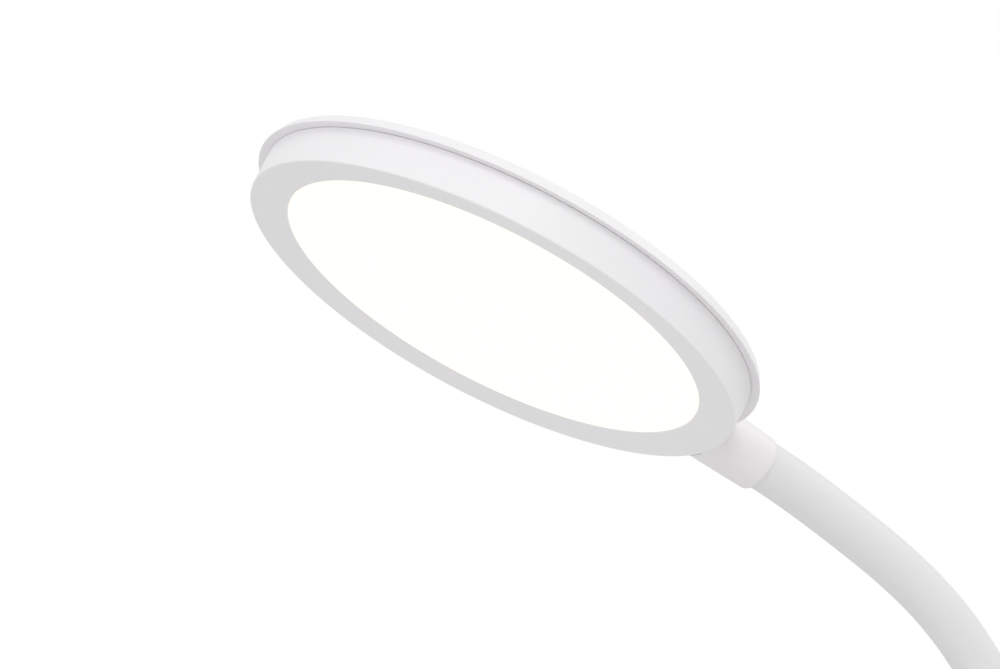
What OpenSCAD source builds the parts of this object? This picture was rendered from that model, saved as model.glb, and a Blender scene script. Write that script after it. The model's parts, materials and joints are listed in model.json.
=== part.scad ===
// Round LED desk lamp on a bendable neck.
// A flat disc head shines down from a sleeved neck that rises from a weighted round base.
// Origin: centre of the base on the table. +Z is up, the head reaches towards -Y.

/* [Head] */
// Diameter of the front bezel
head_d = 141; // [140:1:160]
// Diameter of the lit opening in the bezel
window_d = 120; // [116:1:120]
// Height of the housing wall behind the bezel's outer edge
wall_h = 10; // [10:0.1:11]
// How far the bezel slopes in from its outer edge to the lens
face_dish = 1.4; // [1:0.1:1.4]
// How far the wall leans out from the bezel to its top
wall_draft = 0.4; // [0:0.1:0.6]
// Height of the shadow gap between the wall and the back cover
gap_h = 0.1; // [0.1:0.1:1]
// Thickness of the back cover at its edge
cover_edge = 2.9; // [2.1:0.1:3]
// How far the back cover stands out past the wall
cover_overhang = 2.4; // [1.6:0.1:3]
// How much narrower the back cover is at its back than at its rim
cover_taper = 1.3; // [0.5:0.1:1.5]
// Height of the neck's axis above the bezel's outer edge
socket_h = 8.4; // [8.4:0.1:8.8]
// Number of light-emitting diodes round the light guide
led_count = 40; // [20:1:48]

/* [Neck] */
// Outer diameter of the silicone sleeve
sleeve_d = 13.9; // [13.4:0.1:14]
// Outer diameter of the collar where it leaves the head
collar_d = 17; // [16.8:0.1:17.4]
// Distance from one neck joint to the next
link_len = 18; // [16:0.5:20]
// How far the collar stands out from the head's wall
collar_len = 18.5; // [18:0.5:21]

/* [Base] */
// Diameter of the base
base_d = 132; // [126:1:150]
// Height of the base's top above the table
base_h = 26; // [26:1:30]
// How far behind the base's centre the neck stands
neck_y = 34; // [30:1:36]
// Thickness of the steel ballast plate
ballast_t = 7; // [5:0.5:7]
// Diameter of the power button
button_d = 18; // [14:1:20]
// Travel of the power button
button_travel = 1.5; // [1:0.1:1.5]

/* [Hidden] */
$fn = 96;
clear = 0.2;
snug = 0.02;

// Lean that each link adds to the neck, from the base upwards, in degrees
link_turn = [0, 0, 0, 0, 0, 0.5, 2, 8, 10, 10, 10.5, 9.5, 5.5, 1.5, 3.5];
link_count = len(link_turn);

// Neck section
link_r = 4.7;
cup_r = 4.1;
ball_r = 4;
ball_neck_r = 3;
cable_bore_r = 2.3;
cup_lip = 1.2;
shoulder_gap = 3.2;
trunnion_r = 0.8;
trunnion_hole_r = 0.85;
sleeve_bore_r = 5.3;
sleeve_r = sleeve_d / 2;
sleeve_sides = 24;

// Levels in the base
pad_t = 2;
pad_r = 58;
pad_recess = 0.6;
plate_z = pad_t - pad_recess;
plate_t = 3;
ballast_z = plate_z + plate_t;
ballast_top = ballast_z + ballast_t;
cover_z = pad_t;
cover_wall = 2.4;
cover_top = 2.6;
cover_under = base_h - cover_top;
cover_round = 7;
base_r = base_d / 2;
base_bore_r = base_r - cover_wall;
plate_r = base_bore_r - 2 * clear;
ballast_r = plate_r - 2;
cable_well_r = 17;

// Neck root on the base
boss_h = 13;
boss_foot_r = 13.5;
boss_top_r = 8.7;
boss_ledge = 2;
thread_r = 6;
shoulder_r = 7;
shoulder_t = 2;
shoulder_z = base_h + boss_ledge;
sleeve_z = shoulder_z + shoulder_t;
ferrule_r = 5;
ferrule_end = cover_under - 6.6;
washer_t = 1;
washer_r = 10;
nut_t = 4.6;
nut_r = 10.4;
joint_rise = 9;
neck_z = base_h + boss_h + joint_rise;

// Screws in the base
base_screw_r = 1.5;
base_screw_head_r = 2.8;
base_screw_head_t = 1.8;
base_screw_top = 17;
base_screw_len = base_screw_top - pad_t - base_screw_head_t - 1;
base_screw_ring = 52;
base_screw_angles = [45, 135, 225, 315];
base_post_r = 4;
screw_seat_z = pad_t + base_screw_head_t;

// Driver board and what stands on it
board_size = [56, 34, 1.6];
board_at = [0, -27, 13.6];
board_top = board_at[2] + board_size[2];
board_hole = [24, 13];
board_post_r = 2.5;
board_screw_r = 1;
board_screw_head_r = 2;
board_screw_head_t = 1.2;
board_screw_len = 6;
plug_size = [8, 6, 5];
plug_at = [0, -13.5, board_top];

// Button and switch
button_at = [0, -32];
button_r = button_d / 2;
button_proud = 1.4;
button_flange_r = button_r + 2;
button_flange_t = 1.5;
button_edge = 1;
button_dish_r = 30;
button_dish_depth = 0.5;
stub_r = 2.2;
stub_t = 1.5;
switch_size = [8.5, 8.5, 3.4];
plunger_r = 1.5;
switch_floor = board_top + 0.2;
plunger_top = cover_under - button_flange_t - stub_t;
plunger_bottom = switch_floor + button_travel + clear / 2;

// Power inlet
inlet_size = [9, 13.4, 9.6];
inlet_z = 12.6;
inlet_gap = 1.8;
inlet_back = base_bore_r - inlet_size[1] - inlet_gap;
inlet_bore_r = 2.9;
inlet_bore_len = 9.5;
inlet_pin_r = 1;
inlet_pin_end = base_bore_r;
inlet_tail = 2;
inlet_sunk = 0.4;
inlet_collar_r = 4.2;
inlet_axis_z = inlet_z + inlet_size[2] / 2;

// Head section
head_r = head_d / 2;
window_r = window_d / 2;
wall_t = 2.2;
bezel_t = 2.4;
lip_t = 0.7;
lip_top = face_dish + lip_t;
front_round = 0.5;
wall_top_r = head_r + wall_draft;
wall_bore_r = head_r - wall_t;
cover_r = wall_top_r + cover_overhang;
cover_under_h = wall_h + gap_h;
cover_top_h = cover_under_h + cover_edge;
cover_skin = 1.6;
cover_hollow_r = head_r - 5;
spigot_r = wall_bore_r - clear;
spigot_t = 1.2;
spigot_h = 8.1;
snap_h = 8.6;
snap_t = 0.7;
snap_depth = 0.4;
snap_count = 6;
snap_angle = 8;

// Light-guide stack, outwards and upwards from the diffuser
diffuser_t = 0.8;
lens_inset = 0.05;
lens_z = face_dish + lens_inset;
diffuser_r = window_r + 1.8;
guide_t = 2.5;
guide_r = window_r + 1.2;
sheet_t = 0.3;
led_gap = 0.3;
led_depth = 1.1;
led_size = [3.5, led_depth, 2.2];
strip_t = 0.3;
strip_r = guide_r + led_gap + led_depth;
led_back = sqrt(pow(strip_r, 2) - pow(led_size[0] / 2, 2)) - snug;
guide_z = lip_top + diffuser_t;
sheet_z = guide_z + guide_t;
spreader_z = sheet_z + sheet_t;
spreader_t = 1;
spreader_top = spreader_z + spreader_t;
spreader_rim_r = strip_r + strip_t;
spreader_rim_t = 0.6;
spreader_r = wall_bore_r - 0.3;
rim_bottom = bezel_t + 0.1;
seat_r = spreader_rim_r + spreader_rim_t + clear;
seat_t = 1.1;
boss_r = 2;
boss_ring = (seat_r + wall_bore_r) / 2;
head_screw_r = 0.9;
head_screw_head_r = 1.7;
head_screw_head_t = 1.1;
head_screw_len = 4;
head_screw_angles = [30, 150, 210, 270, 330];
support_ring = 50;
support_angles = [0, 60, 120, 180, 240, 300];
support_r = 2.5;

// Neck socket on the head, measured from the head's centre
collar_r = collar_d / 2;
collar_end = wall_top_r + collar_len;
collar_drop = 0.5;
collar_taper = 0.6;
collar_round = 2;
collar_slope = 40;
sleeve_grip = 8;
sleeve_end = collar_end - sleeve_grip;
joint_out = 4.1;
head_reach = collar_end + joint_out;
ferrule_flange_r = 6;
ferrule_flange_len = 3;
tang_x = [2.4, 7];
tang_back = 54;
tang_t = 2.6;
tang_screw = [4.7, 58];
tang_screw_r = 1.25;
tang_screw_head_r = 2.2;
tang_screw_head_t = 1.3;
slot_w = 2 * (tang_x[1] + clear);

// Cables
cable_r = 1.5;
lead_r = 0.6;
cable_sides = 8;
head_plug_size = [7, 6, 3.6];
head_plug_y = 40;
tail_at = 76;
tail_angle = 6;
tail_len = 4;

// The neck's line

// Lean of the neck from the vertical where link i starts; links count from 0
function lean(i) = i == 0 ? 0 : lean(i - 1) + link_turn[i - 1];
// Lean of link i itself, which is the chord of its arc
function chord_lean(i) = lean(i) + link_turn[i] / 2;
// Direction of the neck at a lean, towards -Y as it grows
function neck_dir(a) = [0, -sin(a), cos(a)];
// Direction square to the neck at a lean, away from the bend's centre
function neck_side(a) = [0, cos(a), sin(a)];
// Place of joint i; joint 0 stands over the base
function joint_at(i) =
    i == 0 ? [0, neck_y, neck_z] : joint_at(i - 1) + link_len * neck_dir(chord_lean(i - 1));

head_lean = lean(link_count);
head_tilt = 90 - head_lean;
head_joint = joint_at(link_count);

// Puts its children on link i, with +Z along the link
module on_link(i) {
    translate(joint_at(i)) rotate([chord_lean(i), 0, 0]) children();
}

// Puts its children on the head: face down at z = 0, neck towards +Y
module on_head() {
    translate(head_joint)
        rotate([-head_tilt, 0, 0])
            translate([0, -head_reach, -socket_h])
                children();
}

// Puts its children over the neck's foot
module at_neck(z) {
    translate([0, neck_y, z]) children();
}

// Puts its children on the inlet's line, with +Z out of the back of the base
module on_inlet_line(y) {
    translate([0, y, inlet_axis_z]) rotate([-90, 0, 0]) children();
}

// Within on_head: the neck's line at a distance from the head's centre, with +Z out of the head
module on_neck_line(y) {
    translate([0, y, socket_h]) rotate([-90, 0, 0]) children();
}

// Puts its children on the neck's last stretch, with +Z towards the head
module on_neck_end() {
    translate(head_joint) rotate([head_lean, 0, 0]) children();
}

// Shared shapes

// Disc whose outer edge is rounded at the top, at the bottom or both
module round_disc(r, h, top = 0, bottom = 0) {
    rotate_extrude() {
        difference() {
            square([r, h]);
            if (top > 0) translate([r - top, h - top]) square([top + 1, top + 1]);
            if (bottom > 0) translate([r - bottom, -1]) square([bottom + 1, bottom + 1]);
        }
        if (top > 0) translate([r - top, h - top]) circle(top);
        if (bottom > 0) translate([r - bottom, bottom]) circle(bottom);
    }
}

// Disc whose edge leans in towards its top, where it is rounded
module tapered_disc(r, h, taper, top) {
    slope = atan2(taper, h);
    middle = r - top / cos(slope) - (h - top) * tan(slope);
    rotate_extrude() {
        polygon([
            [0, 0], [r, 0], [middle + top * cos(slope), h - top + top * sin(slope)], [middle, h], [0, h]
        ]);
        translate([middle, h - top]) circle(top);
    }
}

module ring(outer, inner, h) {
    difference() {
        cylinder(r = outer, h = h);
        translate([0, 0, -1]) cylinder(r = inner, h = h + 2);
    }
}

// Pan-head screw with its shank up from the head's seat at z = 0
module screw(shank_r, shank_len, head_r, head_t) {
    translate([0, 0, -head_t]) round_disc(head_r, head_t, bottom = head_t / 3);
    cylinder(r = shank_r, h = shank_len);
}

module at_ring(r, angles) {
    for (a = angles) rotate([0, 0, a]) translate([r, 0, 0]) children();
}

// Box from a corner, centred on X
module slab(size) {
    translate([-size[0] / 2, 0, 0]) cube(size);
}

// Tube swept along points that lie in one plane, whose normal is given
function unit(v) = v / norm(v);
function tangent(p, i) =
    unit(p[min(i + 1, len(p) - 1)] - p[max(i - 1, 0)]);

module swept_cable(p, r, normal) {
    n = cable_sides;
    last = len(p) - 1;
    points = [
        for (i = [0:last], k = [0:n - 1])
            p[i] + r * (cos(360 * k / n) * normal + sin(360 * k / n) * cross(tangent(p, i), normal))
    ];
    sides = [
        for (i = [0:last - 1], k = [0:n - 1])
            [i * n + k, (i + 1) * n + k, (i + 1) * n + (k + 1) % n, i * n + (k + 1) % n]
    ];
    polyhedron(points, concat(
        sides,
        [[for (k = [0:n - 1]) k]],
        [[for (k = [n - 1:-1:0]) last * n + k]]
    ));
}

// Neck core

// Hinge line of joint i: across the lamp on even joints, fore and aft on odd ones
module along_hinge(i) {
    if (i % 2 == 0) rotate([0, 90, 0]) children();
    else rotate([90, 0, 0]) children();
}

// Ball with its two trunnions, centred on joint i
module ball_end(i, hinge_tilt) {
    difference() {
        union() {
            sphere(ball_r);
            translate([0, 0, -shoulder_gap - 1]) cylinder(r = ball_neck_r, h = shoulder_gap + 1);
            rotate([hinge_tilt, 0, 0]) along_hinge(i)
                cylinder(r = trunnion_r, h = 2 * link_r, center = true);
        }
        translate([0, 0, -2 * shoulder_gap]) cylinder(r = cable_bore_r, h = 4 * shoulder_gap);
    }
}

// Tube that starts as a cup round joint i and ends square at its length
module cup_tube(i, len, outer) {
    difference() {
        translate([0, 0, -cup_lip]) cylinder(r = outer, h = len + cup_lip);
        sphere(cup_r);
        translate([0, 0, -2]) cylinder(r = cable_bore_r, h = len + 4);
        along_hinge(i) cylinder(r = trunnion_hole_r, h = 4 * outer, center = true);
    }
}

module neck_link(i) {
    color("silver") on_link(i) {
        cup_tube(i, link_len - shoulder_gap, link_r);
        translate([0, 0, link_len])
            ball_end(i + 1, (i + 1 < link_count ? chord_lean(i + 1) : head_lean) - chord_lean(i));
    }
}

module lower_ferrule() {
    color("silver") {
        difference() {
            union() {
                at_neck(ferrule_end) cylinder(r = thread_r, h = shoulder_z - ferrule_end);
                at_neck(shoulder_z) cylinder(r = shoulder_r, h = shoulder_t);
                at_neck(sleeve_z) cylinder(r = ferrule_r, h = neck_z - shoulder_gap - sleeve_z);
            }
            at_neck(0) cylinder(r = cable_bore_r, h = neck_z);
        }
        at_neck(neck_z) ball_end(0, 0);
    }
}

module upper_ferrule() {
    flange_z = head_reach - sleeve_end;
    color("silver") on_neck_end() difference() {
        union() {
            cup_tube(link_count, flange_z, link_r);
            translate([0, 0, flange_z]) cylinder(r = ferrule_flange_r, h = ferrule_flange_len);
        }
        translate([0, 0, flange_z - 1]) cylinder(r = cable_bore_r, h = ferrule_flange_len + 2);
    }
}

// Neck sleeve and cable

// Middle of link i's arc, which bulges from the chord, away from the bend's centre
function arc_middle(i) =
    joint_at(i) + link_len / 2 * neck_dir(chord_lean(i))
    + link_len / 2 * tan(link_turn[i] / 4) * neck_side(chord_lean(i));

// The sleeve's line: a place and a lean at each ring
sleeve_line = concat(
    [[[0, neck_y, sleeve_z], 0]],
    [for (i = [0:link_count - 1], half = [0, 1])
        half == 0 ? [joint_at(i), lean(i)] : [arc_middle(i), chord_lean(i)]],
    [for (d = [0, head_reach - sleeve_end]) [head_joint + d * neck_dir(head_lean), head_lean]]
);

function sleeve_ring(place, r) = [
    for (k = [0:sleeve_sides - 1])
        place[0] + r * cos(360 * k / sleeve_sides) * [1, 0, 0]
        + r * sin(360 * k / sleeve_sides) * neck_side(place[1])
];

module neck_sleeve() {
    n = sleeve_sides;
    last = len(sleeve_line) - 1;
    bore = n * (last + 1);
    outside = [for (place = sleeve_line) each sleeve_ring(place, sleeve_r)];
    inside = [for (place = sleeve_line) each sleeve_ring(place, sleeve_bore_r)];
    walls = [
        for (i = [0:last - 1], k = [0:n - 1], side = [0, 1])
            let (a = i * n + k, b = i * n + (k + 1) % n)
                side == 0 ? [a, a + n, b + n, b] : [bore + a, bore + b, bore + b + n, bore + a + n]
    ];
    ends = [
        for (i = [0, last], k = [0:n - 1])
            let (a = i * n + k, b = i * n + (k + 1) % n)
                i == 0 ? [a, b, bore + b, bore + a] : [b, a, bore + a, bore + b]
    ];
    color("white") polyhedron(concat(outside, inside), concat(walls, ends));
}

// The cable's way through the base, from the driver board to the foot of the neck
cable_in_base = [
    [0, -10.5, 17.5], [0, -5, 17.5], [0, 2, 17], [0, 9, 15.5], [0, 15, 13.5], [0, 21, 11.5],
    [0, 26, 10.5], [0, neck_y - 4, 11], [0, neck_y - 1, 13.5], [0, neck_y, 18], [0, neck_y, 25],
    [0, neck_y, 32], [0, neck_y, 40]
];
cable_in_neck = [
    for (i = [0:link_count - 1], half = [0, 1])
        joint_at(i) + half * link_len / 2 * neck_dir(chord_lean(i))
];
cable_end = head_reach - head_plug_y - head_plug_size[1];
cable_in_head = [for (d = [0, 10, 20, 30, cable_end]) head_joint + d * neck_dir(head_lean)];

module lamp_cable() {
    color("gainsboro")
        swept_cable(concat(cable_in_base, cable_in_neck, cable_in_head), cable_r, [1, 0, 0]);
}

// Head

module head_housing() {
    color("white") on_head() {
        difference() {
            union() {
                rotate_extrude() difference() {
                    union() {
                        polygon([
                            [window_r, face_dish], [head_r - front_round, 0], [head_r, front_round],
                            [wall_top_r, wall_h], [wall_bore_r, wall_h], [wall_bore_r, bezel_t],
                            [diffuser_r + clear, bezel_t], [diffuser_r + clear, lip_top],
                            [window_r, lip_top]
                        ]);
                        translate([head_r - front_round, front_round]) circle(front_round);
                        translate([seat_r, bezel_t - 1]) square([seat_t, spreader_z - bezel_t + 1]);
                    }
                    translate([wall_bore_r - 1, snap_h])
                        square([1 + snap_depth + clear, snap_t + clear]);
                }
                at_ring(boss_ring, head_screw_angles) translate([0, 0, bezel_t - 1])
                    cylinder(r = boss_r, h = spreader_z - bezel_t + 1);
            }
            at_ring(boss_ring, head_screw_angles)
                translate([0, 0, spreader_z - head_screw_len + spreader_t])
                    cylinder(r = head_screw_r, h = head_screw_len);
            translate([0, seat_r - 1, spreader_top]) slab([slot_w, 2 * wall_t + 6, wall_h]);
            on_neck_line(seat_r - 1) cylinder(r = cable_bore_r, h = head_reach - seat_r + 1);
        }
    }
}

module back_cover() {
    color("white") on_head() {
        difference() {
            union() {
                translate([0, 0, cover_under_h])
                    tapered_disc(cover_r, cover_edge, cover_taper, top = cover_edge / 3);
                translate([0, 0, spigot_h])
                    ring(spigot_r, spigot_r - spigot_t, cover_under_h - spigot_h + 0.5);
                for (k = [0:snap_count - 1])
                    rotate([0, 0, (k + 0.5) * 360 / snap_count - snap_angle / 2])
                        rotate_extrude(angle = snap_angle)
                            translate([spigot_r - spigot_t / 2, snap_h + clear / 2])
                                square([spigot_t / 2 + snap_depth, snap_t]);
            }
            translate([0, 0, cover_top_h - cover_skin - 5]) cylinder(r = cover_hollow_r, h = 5);
            translate([0, cover_hollow_r, 0])
                slab([slot_w + 2, wall_top_r - cover_hollow_r, cover_under_h]);
        }
        at_ring(support_ring, support_angles)
            translate([0, 0, spreader_top]) cylinder(r = support_r, h = cover_top_h - 1 - spreader_top);
    }
}

module diffuser() {
    color("ivory") on_head() {
        translate([0, 0, lip_top]) cylinder(r = diffuser_r, h = diffuser_t);
        translate([0, 0, lens_z]) cylinder(r = window_r - clear / 2, h = guide_z - lens_z);
    }
}

module light_guide() {
    color("aliceblue") on_head() translate([0, 0, guide_z]) cylinder(r = guide_r, h = guide_t);
}

module reflector_sheet() {
    color("snow") on_head() translate([0, 0, sheet_z]) cylinder(r = guide_r, h = sheet_t);
}

// Flexible circuit round the guide, with a tail that folds over the heat spreader
module led_strip() {
    strip_bottom = rim_bottom + clear;
    tail_in = strip_r + strip_t / 5;
    tail_out = strip_r + strip_t - strip_t / 5;
    tail_end = strip_r - tail_len;
    tail_top = spreader_top + strip_t;
    color("white") on_head() {
        translate([0, 0, strip_bottom]) ring(strip_r + strip_t, strip_r, spreader_z - strip_bottom);
        tail_sector(tail_angle) polygon([
            [tail_in, sheet_z - 1], [tail_out, sheet_z - 1], [tail_out, tail_top], [tail_end, tail_top],
            [tail_end, spreader_top], [tail_in, spreader_top]
        ]);
    }
}

// Sweeps a profile round the head's axis by an angle, beside the neck's line
module tail_sector(angle) {
    rotate([0, 0, tail_at - angle / 2]) rotate_extrude(angle = angle) children();
}

module leds() {
    color("khaki") on_head()
        for (k = [0:led_count - 1])
            rotate([0, 0, 360 * (k + 0.5) / led_count])
                translate([0, led_back - led_depth, guide_z + (guide_t - led_size[2]) / 2])
                    slab(led_size);
}

// Pressed aluminium pan that backs the strip and closes the light guide
module heat_spreader() {
    color("lightgray") on_head() difference() {
        union() {
            translate([0, 0, spreader_z]) cylinder(r = spreader_r, h = spreader_t);
            translate([0, 0, rim_bottom])
                ring(spreader_rim_r + spreader_rim_t, spreader_rim_r, spreader_z - rim_bottom + 0.1);
        }
        at_ring(boss_ring, head_screw_angles) cylinder(r = head_screw_r, h = cover_top_h);
        at_tang_screws() cylinder(r = tang_screw_r, h = cover_top_h);
        tail_sector(tail_angle + 1)
            translate([strip_r - clear, sheet_z - 1]) square([strip_t + clear, cover_top_h]);
    }
}

module spreader_screws() {
    color("dimgray") on_head()
        at_ring(boss_ring, head_screw_angles)
            translate([0, 0, spreader_top]) mirror([0, 0, 1])
                screw(head_screw_r, head_screw_len, head_screw_head_r, head_screw_head_t);
}

module at_tang_screws() {
    for (x = [-1, 1]) translate([x * tang_screw[0], tang_screw[1], 0]) children();
}

// Collar that holds the neck, with two prongs screwed down inside the head
module neck_socket() {
    color("white") on_head() difference() {
        union() {
            intersection() {
                translate([0, 0, -collar_drop]) on_neck_line(wall_bore_r)
                    tapered_disc(collar_r, collar_end - wall_bore_r, collar_taper, top = collar_round);
                translate([0, wall_bore_r, 0]) slab([2 * collar_r, 2 * collar_len, 4 * collar_r]);
            }
            for (x = [-1, 1])
                translate([x * (tang_x[0] + tang_x[1]) / 2, tang_back, spreader_top])
                    slab([tang_x[1] - tang_x[0], wall_top_r - tang_back, tang_t]);
        }
        difference() {
            rotate_extrude() polygon([
                [0, -1], [head_r + snug, -1], [head_r + snug, 0], [wall_top_r + snug, wall_h],
                [wall_top_r + snug, 3 * wall_h], [0, 3 * wall_h]
            ]);
            translate([0, 0, spreader_top]) slab([2 * tang_x[1], head_d, tang_t]);
        }
        translate([0, 0, cover_under_h - clear])
            cylinder(r1 = cover_r + clear, r2 = cover_r + clear - cover_taper, h = cover_edge + 2 * clear);
        translate([0, cover_r + clear, cover_top_h]) rotate([collar_slope, 0, 0])
            translate([0, -cover_overhang - clear, 0]) slab([4 * collar_r, 4 * collar_r, 2 * collar_r]);
        on_neck_line(wall_bore_r - 1) cylinder(r = cable_bore_r, h = 2 * collar_len);
        on_neck_line(sleeve_end) cylinder(r = sleeve_r + snug, h = collar_len);
        on_neck_line(sleeve_end - ferrule_flange_len)
            cylinder(r = ferrule_flange_r + snug, h = collar_len);
        at_tang_screws() cylinder(r = tang_screw_r, h = cover_top_h);
    }
}

module socket_screws() {
    color("dimgray") on_head()
        at_tang_screws() translate([0, 0, spreader_top + tang_t]) mirror([0, 0, 1])
            screw(tang_screw_r, tang_t + spreader_t, tang_screw_head_r, tang_screw_head_t);
}

module head_connector() {
    color("ivory") on_head() translate([0, head_plug_y, spreader_top]) slab(head_plug_size);
}

// The two leads from the connector to the strip's tail
lead_level = spreader_top + strip_t + lead_r;
lead_routes = [
    [[3.5, 42, 0], [7, 42.2, 0], [10.4, 44, 0], [13.2, 47.5, 0], [15, 52, 0], [15.8, 58, 0]],
    [[3.5, 44.4, 0], [6, 44.6, 0], [9, 46.5, 0], [11.6, 50, 0], [13, 54, 0], [13.6, 58, 0]]
];

module strip_leads() {
    color("crimson") on_head() translate([0, 0, lead_level])
        for (route = lead_routes) swept_cable(route, lead_r, [0, 0, 1]);
}

// Base

module at_board_holes() {
    for (x = [-1, 1], y = [-1, 1])
        translate([x * board_hole[0], board_at[1] + y * board_hole[1], 0]) children();
}

module base_cover() {
    color("white") difference() {
        union() {
            difference() {
                translate([0, 0, cover_z]) round_disc(base_r, base_h - cover_z, top = cover_round);
                translate([0, 0, cover_z - 1])
                    round_disc(base_bore_r, cover_under - cover_z + 1, top = cover_round - cover_wall);
            }
            at_ring(base_screw_ring, base_screw_angles)
                translate([0, 0, ballast_top])
                    cylinder(r = base_post_r, h = cover_under - ballast_top + 1);
            at_board_holes() translate([0, 0, board_top])
                cylinder(r = board_post_r, h = cover_under - board_top + 1);
        }
        at_ring(base_screw_ring, base_screw_angles) cylinder(r = base_screw_r, h = base_screw_top);
        at_board_holes() cylinder(r = board_screw_r, h = board_at[2] + board_screw_len);
        translate([button_at[0], button_at[1], cover_under - 1])
            cylinder(r = button_r + clear, h = cover_top + 2);
        at_neck(cover_under - 1) cylinder(r = thread_r + snug, h = cover_top + 2);
        on_inlet_line(base_r - 2 * cover_wall) cylinder(r = inlet_collar_r + snug, h = 3 * cover_wall);
    }
}

module base_plate() {
    color("gray") difference() {
        translate([0, 0, plate_z]) round_disc(plate_r, plate_t, bottom = plate_t / 5);
        at_ring(base_screw_ring, base_screw_angles) {
            cylinder(r = base_screw_r + clear, h = ballast_top);
            cylinder(r = base_screw_head_r + clear, h = screw_seat_z);
        }
        cylinder(r = pad_r + clear, h = pad_t);
    }
}

module ballast_plate() {
    color("darkgray") difference() {
        translate([0, 0, ballast_z]) cylinder(r = ballast_r, h = ballast_t);
        at_ring(base_screw_ring, base_screw_angles)
            cylinder(r = base_screw_r + clear, h = 2 * ballast_top);
        at_neck(0) cylinder(r = cable_well_r, h = 2 * ballast_top);
    }
}

// Non-slip disc that covers the screws
module foot_pad() {
    color("dimgray") round_disc(pad_r, pad_t, bottom = pad_t / 5);
}

module base_screws() {
    color("silver")
        at_ring(base_screw_ring, base_screw_angles)
            translate([0, 0, screw_seat_z])
                screw(base_screw_r, base_screw_len, base_screw_head_r, base_screw_head_t);
}

// Tapered root that hides the ferrule and guides the sleeve
module neck_boss() {
    color("white") translate([0, neck_y, base_h]) difference() {
        rotate_extrude() {
            polygon([
                [0, 0], [boss_foot_r, 0], [boss_foot_r, 1], [boss_top_r, boss_h - 1],
                [boss_top_r - 1, boss_h], [0, boss_h]
            ]);
            translate([boss_top_r - 1, boss_h - 1]) circle(1);
        }
        translate([0, 0, -1]) cylinder(r = thread_r + snug, h = boss_h);
        translate([0, 0, boss_ledge]) cylinder(r = shoulder_r + clear / 2, h = boss_h);
    }
}

module lock_washer() {
    color("silver") at_neck(cover_under - washer_t) ring(washer_r, thread_r + snug, washer_t);
}

module ferrule_nut() {
    color("silver") at_neck(cover_under - washer_t - nut_t) difference() {
        cylinder(r = nut_r, h = nut_t, $fn = 6);
        translate([0, 0, -1]) cylinder(r = thread_r + snug, h = nut_t + 2);
    }
}

module driver_board() {
    color("seagreen") difference() {
        translate([board_at[0], board_at[1] - board_size[1] / 2, board_at[2]]) slab(board_size);
        at_board_holes() cylinder(r = board_screw_r, h = board_top + 1);
    }
}

module driver_chip() {
    legs = 4;
    pitch = 1.27;
    color("black") translate([-14, -21, board_top]) {
        translate([0, -2.5, 0.2]) slab([6, 5, 1.5]);
        for (k = [0:legs - 1], side = [-1, 1])
            translate([(k - (legs - 1) / 2) * pitch, side * 2.9 - 0.4, 0]) slab([0.4, 0.8, 0.7]);
    }
}

module inductor() {
    color("dimgray") translate([14, -20, board_top]) {
        cylinder(r = 4.5, h = 1);
        cylinder(r = 3.4, h = 5);
        translate([0, 0, 4]) cylinder(r = 4.5, h = 1);
    }
}

module capacitors() {
    color("slategray")
        for (x = [-16, 16]) translate([x, -34, board_top]) round_disc(3.15, 6.5, top = 0.5);
}

module board_connector() {
    color("ivory") translate(plug_at) translate([0, -plug_size[1] / 2, 0]) slab(plug_size);
}

module board_screws() {
    color("silver")
        at_board_holes() translate([0, 0, board_at[2]])
            screw(board_screw_r, board_screw_len, board_screw_head_r, board_screw_head_t);
}

module power_inlet() {
    color("dimgray") difference() {
        union() {
            translate([0, inlet_back, inlet_z]) slab(inlet_size);
            on_inlet_line(inlet_back) cylinder(r = inlet_collar_r, h = base_r - inlet_sunk - inlet_back);
        }
        on_inlet_line(base_r - inlet_bore_len) cylinder(r = inlet_bore_r, h = inlet_bore_len + 1);
        on_inlet_line(inlet_back - 1) cylinder(r = inlet_pin_r, h = inlet_size[1]);
    }
}

module inlet_pin() {
    color("silver") on_inlet_line(inlet_back - inlet_tail)
        round_disc(inlet_pin_r, inlet_pin_end - inlet_back + inlet_tail, top = inlet_pin_r / 2);
}

// The two leads from the inlet round the neck's nut to the driver board
inlet_lead_level = 16.4;
inlet_lead_route = [
    [3, inlet_back, 0], [3, inlet_back - 1, 0], [4, inlet_back - 2.4, 0], [7, neck_y + 11, 0],
    [11, neck_y + 9.6, 0], [14, neck_y + 6, 0], [15, neck_y, 0], [14.6, neck_y - 8, 0],
    [13.5, 18, 0], [12.5, 10, 0], [12, 2, 0], [12, -6, 0], [12, -12.5, 0]
];

module inlet_leads() {
    color("crimson") translate([0, 0, inlet_lead_level]) {
        swept_cable(inlet_lead_route, lead_r, [0, 0, 1]);
        mirror([1, 0, 0]) swept_cable(inlet_lead_route, lead_r, [0, 0, 1]);
    }
}

module switch_body() {
    color("black") difference() {
        translate([button_at[0], button_at[1] - switch_size[1] / 2, board_top]) slab(switch_size);
        translate([button_at[0], button_at[1], switch_floor])
            cylinder(r = plunger_r + clear / 2, h = switch_size[2]);
    }
}

module switch_plunger() {
    color("firebrick") translate([button_at[0], button_at[1], plunger_bottom])
        round_disc(plunger_r, plunger_top - plunger_bottom, top = plunger_r / 5);
}

module power_button() {
    cap_h = cover_top + button_proud;
    color("white") translate([button_at[0], button_at[1], cover_under]) difference() {
        union() {
            round_disc(button_r, cap_h, top = button_edge);
            translate([0, 0, -button_flange_t]) cylinder(r = button_flange_r, h = button_flange_t);
            translate([0, 0, -button_flange_t - stub_t]) cylinder(r = stub_r, h = stub_t + 1);
        }
        translate([0, 0, cap_h + button_dish_r - button_dish_depth]) sphere(button_dish_r);
    }
}

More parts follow.
